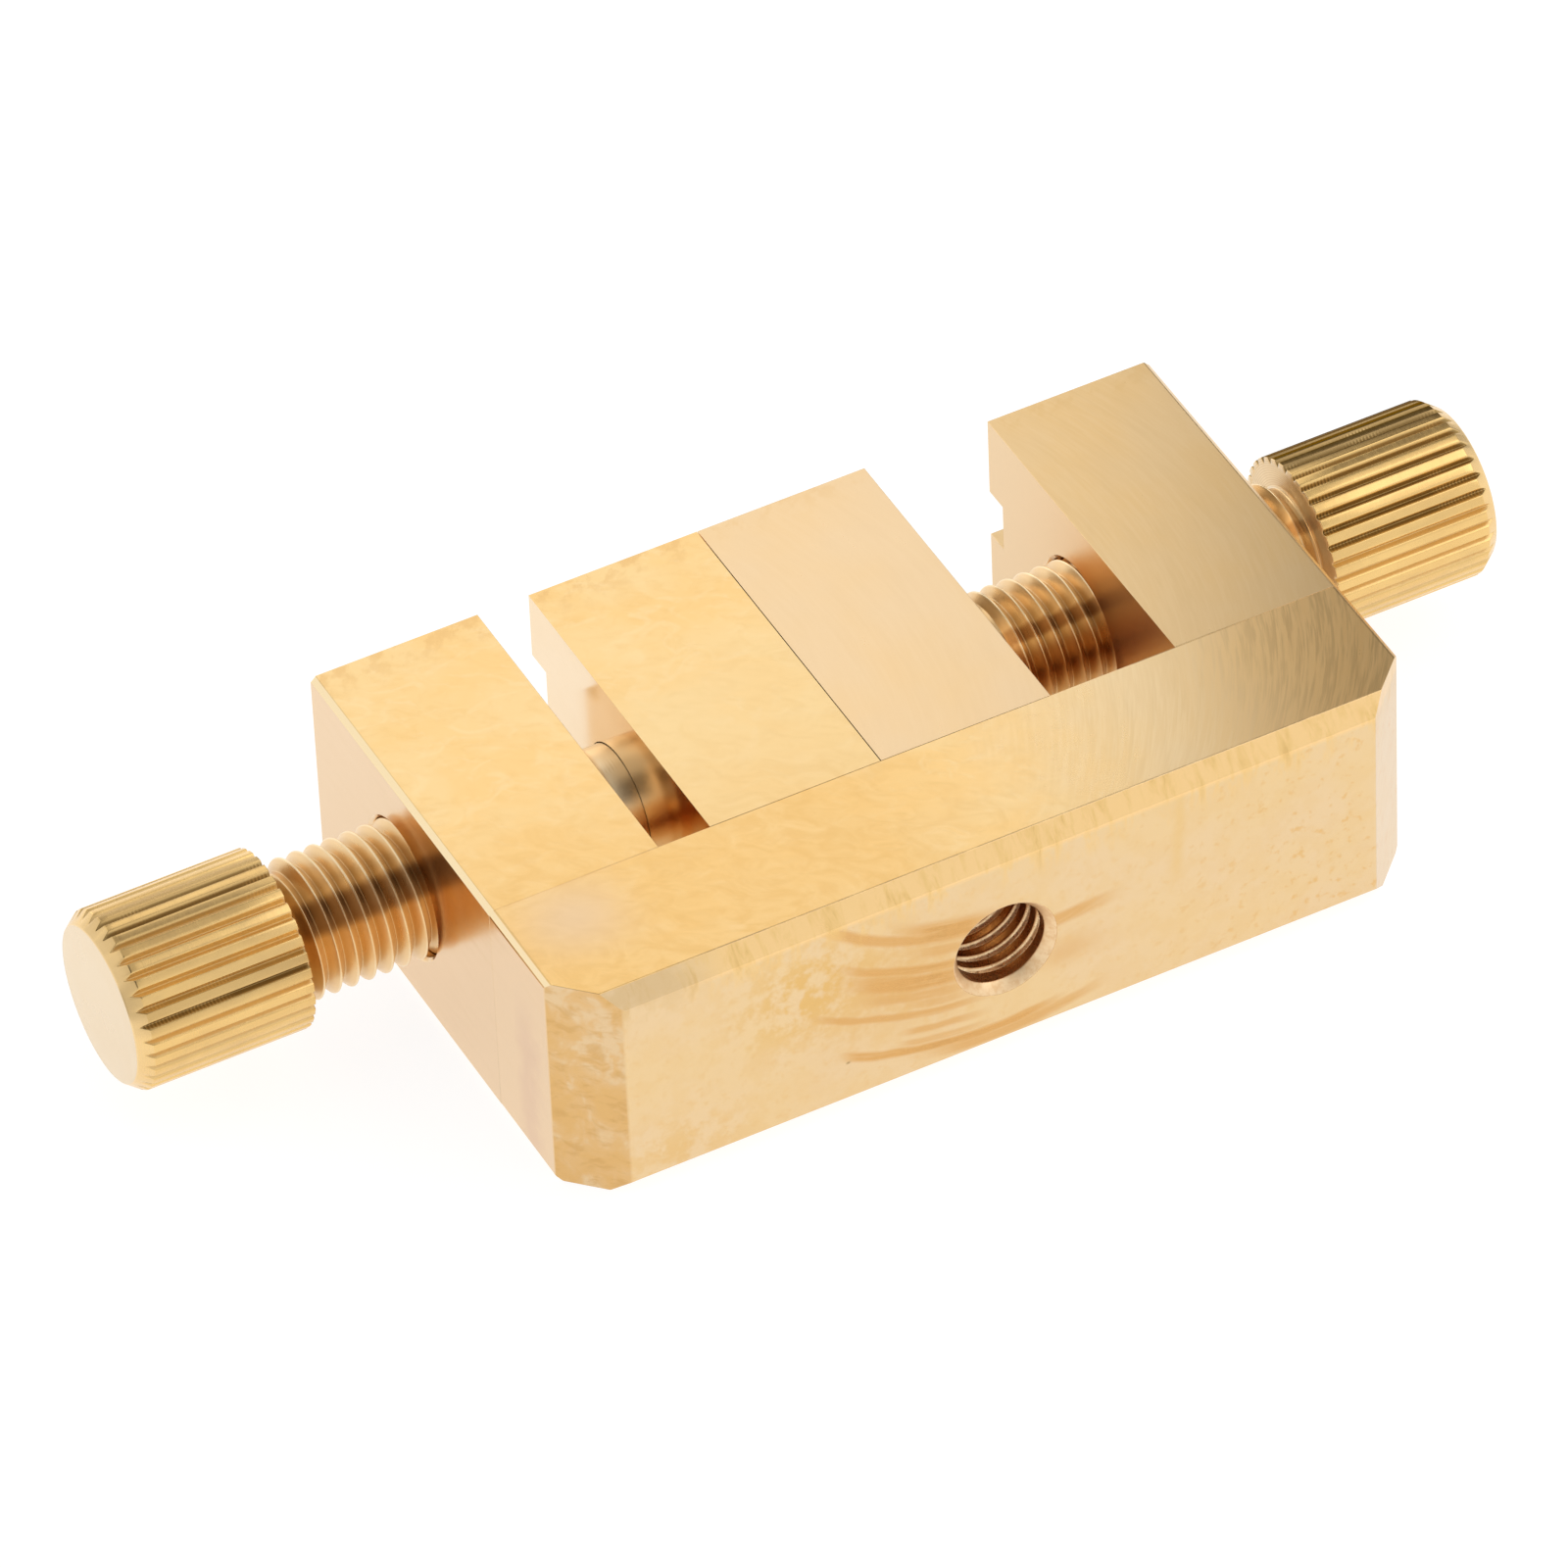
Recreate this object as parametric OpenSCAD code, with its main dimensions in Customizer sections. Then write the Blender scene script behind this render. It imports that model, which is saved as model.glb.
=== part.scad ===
// Small brass bench vise: a front rail with two fixed end blocks and two jaws
// that are drawn along the rail by knurled thumbscrews.
// Millimetres, +Z up. X runs along the screws and Y from the front face of the
// rail to the rear. The origin is under the line where the jaws meet, midway
// between the front and rear faces, on the underside.

/* [Body] */
// Length of the rail, end to end
body_l = 50; // [49:0.5:56]
// Height of the rail, the end blocks and the jaws
body_h = 14; // [13.5:0.5:18]
// Depth of the rail, from its front face to the seam
rail_w = 9.1; // [8.6:0.1:12]
// Depth of the end blocks and jaws behind the seam
block_d = 20.5; // [19:0.5:26]
// Width of each end block along the screws
block_w = 9.8; // [9:0.1:10]
// Chamfer on the two upright front corners of the rail
corner_c = 3; // [1:0.1:4]
// Chamfer along the top and bottom edges of the front face
front_c = 0.9; // [0.3:0.1:1.2]
// Chamfer along the top and bottom edges of the two ends
end_c = 0.3; // [0.2:0.1:1]

/* [Jaws] */
// Width of each jaw along the screws
jaw_w = 10; // [9.5:0.1:10.2]
// Space left of the left jaw when the jaws are shut as shown
left_gap = 3; // [2:0.1:5]
// Working clearance of the jaws on the rail and its tongue
jaw_play = 0.06; // [0.03:0.01:0.1]
// Gap left between the shut jaws
seam_gap = 0.08; // [0.04:0.01:0.2]
// Height of the rear groove in the jaws
jaw_groove_h = 5.5; // [4:0.1:6]
// Depth of the rear groove in the jaws
jaw_groove_d = 1.6; // [1:0.1:2]

/* [Guide tongue] */
// Height of the tongue along the rear face of the rail
tongue_h = 3; // [2:0.1:3.4]
// Depth of the tongue behind the rail
tongue_d = 4.8; // [4.4:0.1:5]
// Distance by which the tongue stops short of the two ends
tongue_end = 1; // [0.6:0.1:1]

/* [Thumbscrews] */
// Height of the screw axis above the underside
axis_z = 7; // [6.6:0.1:7.4]
// Distance of the screw axis behind the seam
axis_back = 10.6; // [10.2:0.1:11.2]
// Diameter over the knurl
knob_d = 10; // [9:0.1:12]
// Length of the knurled head
knob_l = 10; // [7:0.5:14]
// Number of straight knurl grooves
knurl_n = 34; // [24:1:40]
// Depth of the knurl grooves
knurl_depth = 0.36; // [0.2:0.02:0.5]
// Diameter over the thread crests
thread_d = 7.7; // [7.4:0.1:7.8]
// Thread pitch
pitch = 1; // [0.75:0.25:1]
// Number of thread crests behind the head
thread_n = 19; // [16:1:19]
// Diameter of the smooth pilot that turns in the jaw
pilot_d = 6.88; // [6.8:0.02:6.92]

/* [Mounting hole] */
// Nominal diameter of the tapped hole in the front face
mount_d = 6; // [4:1:6]
// Depth of the full thread
mount_depth = 6; // [4:0.5:6.2]

/* [Hidden] */
$fn = 64;

// planes of the body
x0 = -(block_w + left_gap + jaw_w);
x1 = x0 + body_l;
yf = -(rail_w + block_d) / 2;
ys = yf + rail_w;
yr = -yf;
axis_y = ys + axis_back;

// guide tongue, mid-height
tongue_z0 = (body_h - tongue_h) / 2;
tongue_z1 = tongue_z0 + tongue_h;

// screw, measured from the outer end of the head towards the jaw
thread_r = thread_d / 2;
root_r = thread_r - 0.6 * pitch;
thread_l = thread_n * pitch;
pilot_r = pilot_d / 2;
bore_r = pilot_r + 0.06;
neck_r = 2.4;
neck_l = 2.2;
pin_r = 1;
pin_off = neck_r + pin_r + 0.05;       // pins straddle the neck
pin_in = 2.9;                          // pin axis inside the jaw's outer face
neck_x = jaw_w - pin_in + neck_l / 2;  // where the neck starts, from the seam plane
knob_in = jaw_w + 20.35;               // inner face of the head, from the seam plane
knob_out = knob_in + knob_l;
button_l = 2;

// small screws that tie the end blocks to the tongue
bs_r = 1;
bs_head_r = 1.9;
bs_head_h = 1.3;
bs_sink = 1.8;
bs_top = 11.8;
bs_y = ys + 2.7;
bs_x = 2.2;

brass = [0.86, 0.68, 0.36];
pale_brass = [0.87, 0.74, 0.47];
bronze = [0.78, 0.58, 0.24];
steel = [0.62, 0.63, 0.65];

eps = 0.01;

// a square bar on its edge along X, used to break a long edge
module edge_cut_x(y, z, c, len, mid) {
    translate([mid, y, z]) rotate([45, 0, 0])
        cube([len, c * sqrt(2), c * sqrt(2)], center = true);
}

// the same along Y
module edge_cut_y(x, z, c, len, mid) {
    translate([x, mid, z]) rotate([0, 45, 0])
        cube([c * sqrt(2), len, c * sqrt(2)], center = true);
}

// plan outline of the rail with its two cut corners
module rail_plan() {
    polygon([[x0, ys], [x0, yf + corner_c], [x0 + corner_c, yf],
             [x1 - corner_c, yf], [x1, yf + corner_c], [x1, ys]]);
}

// tapped hole in the front face, with a broken mouth and a drilled point
module mount_hole() {
    translate([(x0 + x1) / 2, yf, body_h / 2]) rotate([-90, 0, 0]) {
        translate([0, 0, -1]) cylinder(r = mount_d / 2, h = mount_depth + 1);
        translate([0, 0, -eps]) cylinder(r1 = mount_d / 2 + 0.06 + eps, r2 = mount_d / 2, h = 0.06 + eps);
        translate([0, 0, mount_depth - eps]) cylinder(r1 = mount_d / 2 - 0.5, r2 = 0, h = 1.5);
    }
}

// holes for the two screws of one end block, centred at x
module block_screw_holes(xc) {
    for (s = [-1, 1]) translate([xc + s * bs_x, bs_y, 0]) {
        translate([0, 0, -1]) cylinder(r = bs_head_r + 0.1, h = bs_sink + 1);
        translate([0, 0, -1]) cylinder(r = bs_r + 0.1, h = tongue_z1 + 1);
        translate([0, 0, tongue_z1 - 1]) cylinder(r = bs_r, h = bs_top + 0.4 - tongue_z1 + 1);
    }
}

module rail() {
    color(brass) difference() {
        union() {
            linear_extrude(height = body_h) rail_plan();
            translate([x0 + tongue_end, ys - 1, tongue_z0]) cube([body_l - 2 * tongue_end, tongue_d + 1, tongue_h]);
        }
        edge_cut_x(yf, body_h, front_c, body_l + 4, (x0 + x1) / 2);
        edge_cut_x(yf, 0, front_c, body_l + 4, (x0 + x1) / 2);
        for (x = [x0, x1]) for (z = [0, body_h])
            edge_cut_y(x, z, end_c, rail_w * 2, ys - rail_w + eps);
        mount_hole();
        for (xc = [x0 + block_w / 2, x1 - block_w / 2]) for (s = [-1, 1])
            translate([xc + s * bs_x, bs_y, 0]) cylinder(r = bs_r + 0.1, h = body_h);
    }
}

// fixed end block; inner = +1 where its inner face looks to +X
module end_block(xa, inner) {
    xb = xa + block_w;
    xi = inner > 0 ? xb : xa;
    xo = inner > 0 ? xa : xb;
    difference() {
        translate([xa, ys, 0]) cube([block_w, block_d, body_h]);
        // slot that takes the rail's tongue, closed at the outer face
        translate([inner > 0 ? xa + tongue_end : xa - 1, ys - 1, tongue_z0])
            cube([block_w - tongue_end + 1, tongue_d + 1, tongue_h]);
        // screw bore with broken mouths
        translate([xa - 1, axis_y, axis_z]) rotate([0, 90, 0]) cylinder(r = thread_r + 0.06, h = block_w + 2);
        translate([xa - eps, axis_y, axis_z]) rotate([0, 90, 0]) cylinder(r1 = thread_r + 0.26, r2 = thread_r + 0.06, h = 0.2);
        translate([xb + eps, axis_y, axis_z]) rotate([0, -90, 0]) cylinder(r1 = thread_r + 0.26, r2 = thread_r + 0.06, h = 0.2);
        block_screw_holes((xa + xb) / 2);
        // shallow groove in the rear face, open at the inner face, with a round end
        translate([xi - inner * (block_w - 4.2), yr - 1.45, body_h / 2 + 0.5]) {
            rotate([-90, 0, 0]) cylinder(r = 1.5, h = 3);
            translate([inner > 0 ? 0 : -block_w, 0, -1.5]) cube([block_w, 3, 3]);
        }
        for (z = [0, body_h]) edge_cut_y(xo, z, end_c, block_d * 2, ys + block_d / 2);
    }
}

module left_end_block() { color(brass) end_block(x0, 1); }
module right_end_block() { color(pale_brass) end_block(x1 - block_w, -1); }

// cheese-head screw with a driver slot, head down
module block_screw(x) {
    translate([x, bs_y, 0]) difference() {
        union() {
            translate([0, 0, bs_sink - bs_head_h]) cylinder(r = bs_head_r, h = bs_head_h);
            translate([0, 0, bs_sink - eps]) cylinder(r = bs_r, h = bs_top - bs_sink + eps);
        }
        translate([0, 0, bs_sink - bs_head_h]) cube([0.5, 6, 1.2], center = true);
    }
}

module left_block_screw_outer() { color(steel) block_screw(x0 + block_w / 2 - bs_x); }
module left_block_screw_inner() { color(steel) block_screw(x0 + block_w / 2 + bs_x); }
module right_block_screw_outer() { color(steel) block_screw(x1 - block_w / 2 + bs_x); }
module right_block_screw_inner() { color(steel) block_screw(x1 - block_w / 2 - bs_x); }

// sliding jaw; side = -1 for the left one
module jaw(side) {
    xin = side * seam_gap / 2;
    xout = side * jaw_w;
    xa = min(xin, xout);
    w = abs(xout - xin);
    p = jaw_play;
    difference() {
        translate([xa, ys + p, 0.05]) cube([w, block_d - p, body_h - 0.05]);
        // slot that runs on the tongue
        translate([xa - 1, ys - 1, tongue_z0 - p]) cube([w + 2, tongue_d + 1 + 0.1, tongue_h + 2 * p]);
        // blind bore for the screw's pilot
        translate([xout + side * 1, axis_y, axis_z]) rotate([0, -side * 90, 0])
            cylinder(r = bore_r, h = 1 + pin_in + neck_l / 2 + button_l + 0.3);
        // holes for the two retaining pins
        for (s = [-1, 1]) translate([side * (jaw_w - pin_in), axis_y + s * pin_off, -1])
            cylinder(r = pin_r, h = 12.2);
        // groove along the rear face
        translate([xa - 1, yr - jaw_groove_d, (body_h - jaw_groove_h) / 2]) cube([w + 2, 4, jaw_groove_h]);
    }
}

module left_jaw() { color(brass) jaw(-1); }
module right_jaw() { color(pale_brass) jaw(1); }

// plain dowel with broken ends
module jaw_pin(side, s) {
    translate([side * (jaw_w - pin_in), axis_y + s * pin_off, 0]) rotate_extrude()
        polygon([[0, 0.5], [pin_r - 0.2, 0.5], [pin_r, 0.7], [pin_r, 10.8], [pin_r - 0.2, 11], [0, 11]]);
}

module left_jaw_pin_front() { color(steel) jaw_pin(-1, -1); }
module left_jaw_pin_rear() { color(steel) jaw_pin(-1, 1); }
module right_jaw_pin_front() { color(steel) jaw_pin(1, -1); }
module right_jaw_pin_rear() { color(steel) jaw_pin(1, 1); }

// outline of the knurled head: lands on the full diameter, V grooves between
function knurl_pt(i, f, r) = let (a = 360 * (i + f) / knurl_n) [r * cos(a), r * sin(a)];
module knurl_plan() {
    r = knob_d / 2;
    polygon([for (i = [0 : knurl_n - 1]) each
        [knurl_pt(i, 0, r - knurl_depth), knurl_pt(i, 0.22, r), knurl_pt(i, 0.5, r), knurl_pt(i, 0.78, r)]]);
}

// thumbscrew along +Z, outer end of the head at z = 0
module thumbscrew() {
    r = knob_d / 2;
    zt = knob_l;                       // thread starts
    zs = zt + thread_l;                // smooth pilot starts
    zn = knob_out - neck_x;            // neck starts
    zb = zn + neck_l;                  // button starts
    union() {
        intersection() {
            linear_extrude(height = knob_l) knurl_plan();
            rotate_extrude() polygon([[0, 0], [r - 0.6, 0], [r + 0.01, 0.8], [r + 0.01, knob_l], [0, knob_l]]);
        }
        rotate_extrude() polygon(concat(
            [[0, zt - 0.5], [root_r, zt - 0.5]],
            [for (i = [0 : thread_n - 1]) each [
                [root_r, zt + i * pitch + 0.06],
                [thread_r, zt + (i + 0.4) * pitch],
                [thread_r, zt + (i + 0.56) * pitch],
                [root_r, zt + (i + 0.9) * pitch]]],
            [[root_r, zs], [pilot_r, zs + 0.3], [pilot_r, zn], [neck_r, zn], [neck_r, zb],
             [pilot_r, zb], [pilot_r, zb + button_l - 0.3], [pilot_r - 0.3, zb + button_l], [0, zb + button_l]]));
    }
}

module left_thumbscrew() {
    color(bronze) translate([-knob_out, axis_y, axis_z]) rotate([0, 90, 0]) thumbscrew();
}
module right_thumbscrew() {
    color(bronze) translate([knob_out, axis_y, axis_z]) rotate([0, -90, 0]) thumbscrew();
}

rail();
left_end_block();
right_end_block();
left_block_screw_outer();
left_block_screw_inner();
right_block_screw_outer();
right_block_screw_inner();
left_jaw();
right_jaw();
left_jaw_pin_front();
left_jaw_pin_rear();
right_jaw_pin_front();
right_jaw_pin_rear();
left_thumbscrew();
right_thumbscrew();
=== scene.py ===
import math

import bmesh
import bpy
import numpy as np
from mathutils import Matrix, Vector


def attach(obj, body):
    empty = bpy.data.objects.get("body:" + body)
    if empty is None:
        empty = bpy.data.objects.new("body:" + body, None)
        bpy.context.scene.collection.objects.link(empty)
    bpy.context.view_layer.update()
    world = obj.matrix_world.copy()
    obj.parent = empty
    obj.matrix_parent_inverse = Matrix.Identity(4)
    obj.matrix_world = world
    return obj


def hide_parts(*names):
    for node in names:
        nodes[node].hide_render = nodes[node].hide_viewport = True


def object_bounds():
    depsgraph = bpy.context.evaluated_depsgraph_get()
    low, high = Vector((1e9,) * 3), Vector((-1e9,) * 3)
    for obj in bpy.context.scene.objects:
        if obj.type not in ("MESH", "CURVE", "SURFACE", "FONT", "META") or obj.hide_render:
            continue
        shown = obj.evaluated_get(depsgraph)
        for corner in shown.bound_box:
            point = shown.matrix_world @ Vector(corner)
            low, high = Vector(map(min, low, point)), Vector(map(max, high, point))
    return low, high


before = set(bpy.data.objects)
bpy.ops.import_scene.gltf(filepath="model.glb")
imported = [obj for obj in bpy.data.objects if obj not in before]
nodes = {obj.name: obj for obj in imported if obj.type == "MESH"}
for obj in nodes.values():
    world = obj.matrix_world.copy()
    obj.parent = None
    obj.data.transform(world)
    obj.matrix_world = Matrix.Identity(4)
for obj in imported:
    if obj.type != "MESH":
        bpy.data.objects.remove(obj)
cad_box = [list(v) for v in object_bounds()]
scene = bpy.context.scene
MM = 0.001

# ---------------------------------------------------------------------------
# camera, at the photograph's angle
# ---------------------------------------------------------------------------


def make_camera():
    az, el, roll = math.radians(-26.19188), math.radians(42.93303), math.radians(2.57258)
    dist, tx, ty, focal = 747.06854, 4.61797, 0.07894, 14560.96512
    target = np.array([2.2, -0.2, 7.0])
    back = np.array([math.sin(az) * math.cos(el), -math.cos(az) * math.cos(el), math.sin(el)])
    right = np.cross([0, 0, 1.0], back)
    right /= np.linalg.norm(right)
    up = np.cross(back, right)
    turn = np.array([[math.cos(roll), -math.sin(roll), 0], [math.sin(roll), math.cos(roll), 0], [0, 0, 1]])
    rows = turn @ np.array([right, up, back])
    place = (target - rows.T @ np.array([tx, ty, -dist])) * MM
    data = bpy.data.cameras.new("camera")
    data.sensor_width = 36.0
    data.lens = focal / 1600 * 36.0
    data.clip_start, data.clip_end = 0.01, 10.0
    cam = bpy.data.objects.new("camera", data)
    scene.collection.objects.link(cam)
    m = Matrix.Identity(4)
    for c in range(3):
        for r in range(3):
            m[r][c] = rows[c][r]
    m.translation = Vector(place)
    cam.matrix_world = m
    scene.camera = cam


make_camera()

# ---------------------------------------------------------------------------
# small helper for shader trees
# ---------------------------------------------------------------------------


class Tree:
    """Writes a shader tree in a few words. Values are sockets or plain numbers."""

    def __init__(self, tree):
        self.t = tree
        self.cache = {}

    def node(self, kind, **props):
        n = self.t.nodes.new(kind)
        for k, v in props.items():
            setattr(n, k, v)
        return n

    def put(self, socket, value):
        if isinstance(value, bpy.types.NodeSocket):
            self.t.links.new(value, socket)
        elif value is not None:
            if isinstance(value, (tuple, list)) and len(value) == 3 and socket.type == "RGBA":
                value = (*value, 1.0)
            socket.default_value = value

    def math(self, op, a, b=None, c=None):
        n = self.node("ShaderNodeMath", operation=op)
        for s, v in zip(n.inputs, (a, b, c)):
            self.put(s, v)
        return n.outputs[0]

    def add(self, a, b): return self.math("ADD", a, b)
    def sub(self, a, b): return self.math("SUBTRACT", a, b)
    def mul(self, a, b): return self.math("MULTIPLY", a, b)
    def maxi(self, a, b): return self.math("MAXIMUM", a, b)
    def absv(self, a): return self.math("ABSOLUTE", a)

    def step(self, v, lo, hi, a=0.0, b=1.0):
        """Smooth change from a to b as v goes from lo to hi."""
        n = self.node("ShaderNodeMapRange", interpolation_type="SMOOTHSTEP")
        self.put(n.inputs["Value"], v)
        if hi < lo:
            lo, hi, a, b = hi, lo, b, a
        for k, x in (("From Min", lo), ("From Max", hi), ("To Min", a), ("To Max", b)):
            n.inputs[k].default_value = x
        return n.outputs["Result"]

    def spot(self, v, centre, width):
        """1 at centre, falling smoothly to 0 at a distance of width."""
        return self.step(self.absv(self.sub(v, centre)), width, 0.0)

    def split(self, v):
        n = self.node("ShaderNodeSeparateXYZ")
        self.put(n.inputs[0], v)
        return n.outputs

    def join(self, x, y, z):
        n = self.node("ShaderNodeCombineXYZ")
        for s, v in zip(n.inputs, (x, y, z)):
            self.put(s, v)
        return n.outputs[0]

    def noise(self, vec, scale=1.0, detail=2.0, rough=0.5, distort=0.0):
        n = self.node("ShaderNodeTexNoise", noise_dimensions="3D")
        self.put(n.inputs["Vector"], vec)
        for k, x in (("Scale", scale), ("Detail", detail), ("Roughness", rough), ("Distortion", distort)):
            n.inputs[k].default_value = x
        return n.outputs[0]

    def mix(self, f, a, b):
        n = self.node("ShaderNodeMix", data_type="RGBA", clamp_factor=True)
        self.put(n.inputs[0], f)
        self.put(n.inputs[6], a)
        self.put(n.inputs[7], b)
        return n.outputs[2]

    def blend(self, f, a, b):
        n = self.node("ShaderNodeMix", data_type="FLOAT", clamp_factor=True)
        self.put(n.inputs[0], f)
        self.put(n.inputs[2], a)
        self.put(n.inputs[3], b)
        return n.outputs[0]

    def pos(self):
        """Place on the object in millimetres, its x, y, z, and the surface direction."""
        if "pos" not in self.cache:
            tc = self.node("ShaderNodeTexCoord")
            n = self.node("ShaderNodeVectorMath", operation="SCALE")
            self.t.links.new(tc.outputs["Object"], n.inputs[0])
            n.inputs["Scale"].default_value = 1000.0
            self.cache["pos"] = n.outputs[0]
            self.cache["xyz"] = self.split(n.outputs[0])
            self.cache["nrm"] = self.split(tc.outputs["Normal"])
        return self.cache["pos"], self.cache["xyz"], self.cache["nrm"]

    def streaks(self, along, across, angle_deg, shift=0.0):
        """Coordinates in which a noise runs in streaks at an angle in the XY plane."""
        _, p, _ = self.pos()
        a = math.radians(angle_deg)
        s = self.add(self.mul(p[0], math.cos(a)), self.mul(p[1], math.sin(a)))
        t = self.sub(self.mul(p[1], math.cos(a)), self.mul(p[0], math.sin(a)))
        return self.join(self.add(self.mul(s, along), shift), self.mul(t, across), p[2])


def new_material(name, metallic=1.0):
    mat = bpy.data.materials.new(name)
    mat.use_nodes = True
    mat.node_tree.nodes.clear()
    t = Tree(mat.node_tree)
    bsdf = t.node("ShaderNodeBsdfPrincipled")
    out = t.node("ShaderNodeOutputMaterial")
    t.t.links.new(bsdf.outputs[0], out.inputs[0])
    bsdf.inputs["Metallic"].default_value = metallic
    return mat, t, bsdf


def finish_material(t, bsdf, colour, rough, height=None, bump_mm=0.01):
    t.put(bsdf.inputs["Base Color"], colour)
    t.put(bsdf.inputs["Roughness"], rough)
    if height is not None:
        b = t.node("ShaderNodeBump")
        b.inputs["Strength"].default_value = 1.0
        b.inputs["Distance"].default_value = bump_mm * MM
        t.put(b.inputs["Height"], height)
        t.t.links.new(b.outputs[0], bsdf.inputs["Normal"])


def face_mix(t, f, a, b):
    """Mixes two (colour, roughness, height) sets."""
    return (t.mix(f, a[0], b[0]), t.blend(f, a[1], b[1]), t.blend(f, a[2], b[2]))


GOLD = (0.905, 0.610, 0.262)
PALE = (0.900, 0.640, 0.305)
DEEP = (0.845, 0.525, 0.185)
CHAMPAGNE = (0.890, 0.662, 0.370)
PEACH = (0.815, 0.597, 0.345)
OCHRE = (0.760, 0.470, 0.185)
# painted shade colour for the far right corner of the rail's top
SHADE_OLIVE = (0.400, 0.268, 0.115)


def polished_top(t):
    """Hand-polished top: warm gold, with short wandering smears."""
    pos, p, _ = t.pos()
    cloud = t.noise(t.streaks(0.75, 1.0, -20), 0.26, 3.0, 0.55, 0.4)
    wisp = t.noise(t.streaks(0.60, 1.0, -38), 0.80, 5.0, 0.62, 1.5)
    light = t.noise(t.streaks(0.62, 1.0, -14, shift=41.0), 0.62, 4.0, 0.60, 1.4)
    fleck = t.noise(t.streaks(0.34, 1.0, -40, shift=87.0), 2.2, 4.0, 0.65, 0.5)
    col = t.mix(t.step(cloud, 0.36, 0.64), GOLD, PALE)
    col = t.mix(t.mul(t.step(wisp, 0.44, 0.74), 0.28), col, DEEP)
    col = t.mix(t.mul(t.step(light, 0.50, 0.70), 0.50), col, (0.925, 0.690, 0.370))
    col = t.mix(t.mul(t.step(fleck, 0.58, 0.74), 0.35), col, (0.920, 0.705, 0.405))
    front = t.mul(t.step(p[1], 3.0, -7.0), t.step(p[0], 4.0, -4.0))
    col = t.mix(t.mul(front, t.step(wisp, 0.30, 0.66, 0.42, 0.72)), col, (0.828, 0.512, 0.182))
    edge = t.mul(t.step(p[1], 11.6, 14.6), t.step(t.noise(t.streaks(0.8, 1.0, 60), 1.1, 3.0, 0.6), 0.44, 0.64))
    col = t.mix(t.mul(edge, 0.55), col, OCHRE)
    rough = t.step(wisp, 0.3, 0.75, 0.225, 0.270)
    return col, rough, t.mul(t.sub(wisp, 0.5), 0.05)


def milled_lines(t, radius=28.0, yc=4.0):
    """Noise along the sweep of a large cutter that travelled along X."""
    _, p, _ = t.pos()
    dy = t.sub(p[1], yc)
    root = t.math("SQRT", t.maxi(t.sub(radius * radius, t.mul(dy, dy)), 1.0))
    u = t.sub(p[0], root)
    fine = t.noise(t.join(u, t.mul(p[1], 0.07), t.mul(p[2], 0.05)), 5.0, 2.0, 0.6)
    broad = t.noise(t.join(u, t.mul(p[1], 0.12), t.mul(p[2], 0.05)), 2.2, 3.0, 0.6)
    return fine, broad


def satin_top(t, tone=CHAMPAGNE, lines=1.0):
    pos, p, _ = t.pos()
    fine, broad = milled_lines(t)
    grain = t.noise(pos, 6.0, 2.0, 0.6)
    cloud = t.noise(pos, 0.16, 2.0, 0.5)
    col = t.mix(t.step(cloud, 0.35, 0.7), tone, tuple(c * k for c, k in zip(tone, (1.015, 0.985, 0.91))))
    col = t.mix(t.mul(t.step(broad, 0.45, 0.75), 0.20 * lines), col, tuple(c * k for c, k in zip(tone, (0.80, 0.76, 0.66))))
    col = t.mix(t.mul(t.step(fine, 0.42, 0.66), 0.34 * lines), col, tuple(min(1.0, c * k) for c, k in zip(tone, (1.10, 1.16, 1.28))))
    col = t.mix(t.mul(t.step(grain, 0.55, 0.75), 0.05), col, tuple(c * k for c, k in zip(tone, (0.86, 0.82, 0.72))))
    edge = t.mul(t.mul(t.step(p[1], 12.6, 14.7), t.step(p[2], 13.0, 13.5)), t.step(t.noise(t.streaks(0.8, 1.0, 60), 1.1, 3.0, 0.6), 0.46, 0.66))
    col = t.mix(t.mul(edge, 0.35), col, tuple(c * k for c, k in zip(tone, (0.92, 0.82, 0.62))))
    rough = t.add(t.step(grain, 0.3, 0.7, 0.265, 0.275), t.mul(broad, 0.03))
    return col, rough, t.add(t.mul(t.sub(fine, 0.5), 0.20 * lines), t.mul(t.sub(grain, 0.5), 0.012))


def side_faces(t):
    """Flat ground sides: pale, nearly mirror-like, with a soft haze."""
    pos, p, _ = t.pos()
    cloud = t.noise(pos, 0.22, 3.0, 0.55)
    lines = t.noise(t.join(t.mul(p[0], 0.25), t.mul(p[1], 0.25), t.mul(p[2], 1.6)), 1.2, 3.0, 0.6)
    col = t.mix(t.step(cloud, 0.35, 0.68), (0.885, 0.675, 0.425), (0.90, 0.695, 0.455))
    col = t.mix(t.mul(t.step(lines, 0.55, 0.8), 0.15), col, (0.82, 0.57, 0.31))
    rough = t.step(lines, 0.3, 0.75, 0.17, 0.23)
    return col, rough, t.mul(t.sub(lines, 0.5), 0.15)


def chamfer_highlight(t):
    """The narrow chamfer at the left end, where a painted highlight goes."""
    _, _, n = t.pos()
    return t.mul(t.step(n[0], -0.50, -0.62), t.step(n[2], 0.50, 0.62))


def seam(t):
    """Dark line where the end blocks meet the rail, fading outwards."""
    pos, p, n = t.pos()
    broken = t.step(t.noise(pos, 0.9, 2.0, 0.5), 0.30, 0.52, 0.55, 1.0)
    line = t.mul(t.mul(t.spot(p[1], -5.70, 0.085), t.step(n[2], 0.90, 0.97)), broken)
    right = t.mul(t.step(p[0], 24.4, 18.5), t.step(p[0], 14.6, 15.0))
    left = t.mul(t.step(p[0], -20.0, -14.5), t.step(p[0], -12.0, -12.3))
    return t.mul(line, t.add(t.mul(right, 0.85), t.mul(left, 0.32)))


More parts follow.
